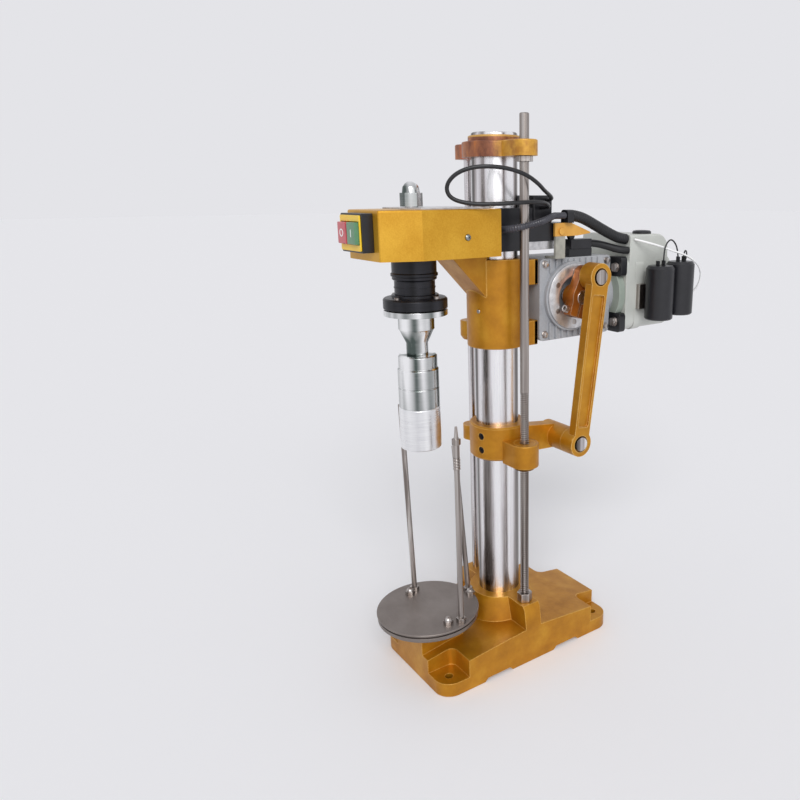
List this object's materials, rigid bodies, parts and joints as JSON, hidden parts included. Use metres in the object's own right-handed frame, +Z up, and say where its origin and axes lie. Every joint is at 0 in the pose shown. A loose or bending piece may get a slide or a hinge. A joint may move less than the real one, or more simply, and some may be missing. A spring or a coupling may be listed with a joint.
{
  "type": "cap sealing machine",
  "caption": "Bench cap sealing machine: crank-driven sealing head with spinning cup on a column, height collar with lead screw, and a round bottle platform",
  "frame": {"origin": "on the floor under the column's axis, at the centre of the four base bolt holes", "axes": "+Z up along the column, -Y towards the sealing head and the platform, +Y towards the lift motor, +X towards the crank and the connecting rod"},
  "size_m": [0.1902, 0.5343, 0.752],
  "materials": {
    "casting_paint": "ochre enamel over a rough casting, satin, worn to bare metal at the edges",
    "cover_paint": "yellow-ochre enamel on folded sheet, satin",
    "ring_paint": "worn orange-brown enamel with dark scuffs",
    "ground_steel": "ground and polished round bar",
    "disc_steel": "turned disc, circular machining marks",
    "zinc_steel": "zinc plated fasteners",
    "bright_chrome": "bright plated, turned",
    "cup_aluminium": "turned aluminium, fine rings",
    "plate_aluminium": "milled plate",
    "gearbox_paint": "grey sprayed die casting, fine grain",
    "motor_paint": "light grey-green enamel, satin",
    "black_steel": "black oxide and black enamel, satin",
    "black_plastic": "moulded black plastic, fine grain",
    "black_rubber": "black rubber and soft hose",
    "hose_grey": "ribbed grey-black conduit",
    "dark_bronze": "oiled bearing bronze",
    "crank_steel": "dark oiled forged steel",
    "bracket_paint": "yellow enamel",
    "frame_yellow": "glossy yellow plastic",
    "button_red": "glossy red push button",
    "button_green": "glossy green push button",
    "white_plastic": "white plastic"
  },
  "bodies": {
    "stand": {"base_casting": "casting_paint", "column": "ground_steel", "top_ring": "ring_paint", "guide_rod": "ground_steel", "platform_discs": "disc_steel", "platform_posts": "zinc_steel", "platform_nuts": "zinc_steel", "post_tip": "zinc_steel"},
    "screw": {"lead_screw": "bright_chrome", "screw_collars": "zinc_steel"},
    "collar": {"height_collar": "casting_paint", "collar_set_screws": "black_steel", "lift_nut": "dark_bronze"},
    "head": {"head_casting": "casting_paint", "belt_cover": "cover_paint", "cover_plate": "plate_aluminium", "quill_housing": "black_steel", "bearing_flange": "black_steel", "spindle_bearings": "bright_chrome", "belt_guard": "black_plastic", "drive_plate": "plate_aluminium", "spindle_motor": "black_plastic", "drive_belt": "black_rubber", "gearbox_housing": "gearbox_paint", "output_cover": "plate_aluminium", "motor_flange": "black_steel", "head_fasteners": "zinc_steel", "motor_frame": "motor_paint", "motor_cowl": "motor_paint", "terminal_box": "motor_paint", "capacitors": "black_plastic", "capacitor_plate": "zinc_steel", "limit_bracket": "bracket_paint", "hose_clip": "white_plastic", "limit_switch": "black_plastic", "switch_box": "black_plastic", "switch_frame": "frame_yellow", "hose_front": "hose_grey", "hose_rear": "black_rubber", "hose_branch": "black_rubber", "cable_loop": "black_rubber", "white_lead": "white_plastic"},
    "spindle": {"spindle_shaft": "ground_steel", "spindle_pulley": "plate_aluminium", "cap_nut": "black_steel", "flanged_chuck": "bright_chrome", "sealing_body": "disc_steel", "sealing_cup": "cup_aluminium", "forming_rollers": "ground_steel"},
    "press": {"press_block": "ground_steel"},
    "drive_pulley": {"motor_pulley": "plate_aluminium"},
    "crank": {"crank_arm": "crank_steel", "crank_pins": "zinc_steel", "output_shaft": "ground_steel"},
    "rod": {"connecting_rod": "casting_paint", "rod_bearings": "dark_bronze", "link_pin": "ground_steel"},
    "start_key": {"start_button": "button_green"},
    "stop_key": {"stop_button": "button_red"}
  },
  "joints": [
    {"name": "collar_lift", "type": "slide", "parent": "stand", "child": "collar", "axis": [0, 0, 1], "range_m": [-0.15, 0]},
    {"name": "screw_turn", "type": "hinge", "parent": "stand", "child": "screw", "pos_m": [0.0636, 0, 0.4], "axis": [0, 0, 1], "continuous": true},
    {"name": "head_stroke", "type": "slide", "parent": "collar", "child": "head", "axis": [0, 0, 1], "range_m": [0, 0.0614]},
    {"name": "crank_turn", "type": "hinge", "parent": "head", "child": "crank", "pos_m": [0.05, 0.1, 0.52], "axis": [-1, 0, 0], "range_deg": [0, 161]},
    {"name": "rod_swing", "type": "hinge", "parent": "crank", "child": "rod", "pos_m": [0.0785, 0.11009, 0.54931], "axis": [1, 0, 0], "range_deg": [0, 163.49]},
    {"name": "spindle_spin", "type": "hinge", "parent": "head", "child": "spindle", "pos_m": [0, -0.1245, 0.55], "axis": [0, 0, 1], "continuous": true},
    {"name": "press_slide", "type": "slide", "parent": "spindle", "child": "press", "axis": [0, 0, 1], "range_m": [0, 0.008], "stiffness_N_per_m": 1500, "springref_m": -0.001},
    {"name": "drive_spin", "type": "hinge", "parent": "head", "child": "drive_pulley", "pos_m": [0, 0.06, 0.609], "axis": [0, 0, 1], "continuous": true},
    {"name": "start_press", "type": "slide", "parent": "head", "child": "start_key", "axis": [0, 1, 0], "range_m": [0, 0.003], "stiffness_N_per_m": 400, "springref_m": -0.001},
    {"name": "stop_press", "type": "slide", "parent": "head", "child": "stop_key", "axis": [0, 1, 0], "range_m": [0, 0.003], "stiffness_N_per_m": 400, "springref_m": -0.001}
  ],
  "couplings": [
    {"joint": "screw_turn", "follows": "collar_lift", "rad_per_m": 2094.4},
    {"joint": "crank_turn", "follows": "head_stroke", "rad_per_m": 45.764},
    {"joint": "rod_swing", "follows": "head_stroke", "rad_per_m": 46.473},
    {"joint": "drive_spin", "follows": "spindle_spin", "ratio": 1.7037}
  ]
}
